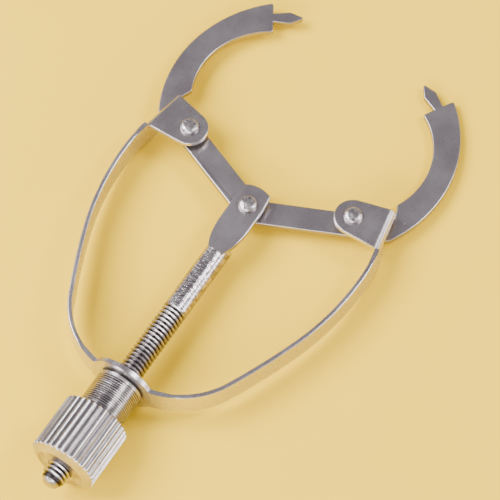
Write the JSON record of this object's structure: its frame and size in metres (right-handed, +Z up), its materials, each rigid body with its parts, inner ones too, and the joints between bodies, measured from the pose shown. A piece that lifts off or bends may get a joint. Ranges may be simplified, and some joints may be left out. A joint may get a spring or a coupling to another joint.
{
  "type": "laboratory finger clamp head",
  "caption": "Clamp head for laboratory stands: curved lever jaws riveted to a heart-shaped spring strip and drawn together by a flat-ended screw and fluted thumb nut.",
  "frame": {"origin": "middle of the grip sleeve, on the screw axis", "axes": "+Y along the screw towards the jaws, +X to the right, +Z up out of the plane of the jaws"},
  "size_m": [0.096, 0.1781, 0.0214],
  "materials": {
    "frame_steel": "satin nickel-plated strip",
    "lever_steel": "satin nickel-plated plate",
    "turned_steel": "bright turned steel",
    "rivet_steel": "polished domed rivet"
  },
  "bodies": {
    "frame": {"spring_frame": "frame_steel", "grip_sleeve": "turned_steel", "left_rivet": "rivet_steel", "right_rivet": "rivet_steel", "left_spacer": "turned_steel", "right_spacer": "turned_steel"},
    "screw": {"draw_screw": "turned_steel", "centre_rivet": "rivet_steel"},
    "left_lever": {"left_jaw": "lever_steel"},
    "right_lever": {"right_jaw": "lever_steel"},
    "nut": {"thumb_nut": "turned_steel"}
  },
  "joints": [
    {"name": "screw_slide", "type": "slide", "parent": "frame", "child": "screw", "axis": [0, 1, 0], "range_m": [-0.008, 0.006]},
    {"name": "left_jaw_hinge", "type": "hinge", "parent": "frame", "child": "left_lever", "pos_m": [-0.02974, 0.08985, 0], "axis": [0, 0, 1], "range_deg": [-12.8, 9.8]},
    {"name": "right_jaw_hinge", "type": "hinge", "parent": "frame", "child": "right_lever", "pos_m": [0.02974, 0.08985, 0], "axis": [0, 0, 1], "range_deg": [-9.8, 12.8]},
    {"name": "nut_spin", "type": "hinge", "parent": "frame", "child": "nut", "pos_m": [0, -0.016, 0], "axis": [0, 1, 0], "range_deg": [-1560, 2080]}
  ],
  "couplings": [
    {"joint": "left_jaw_hinge", "follows": "screw_slide", "rad_per_m": 27.262},
    {"joint": "right_jaw_hinge", "follows": "screw_slide", "rad_per_m": -27.262},
    {"joint": "nut_spin", "follows": "screw_slide", "rad_per_m": -4452.6}
  ]
}
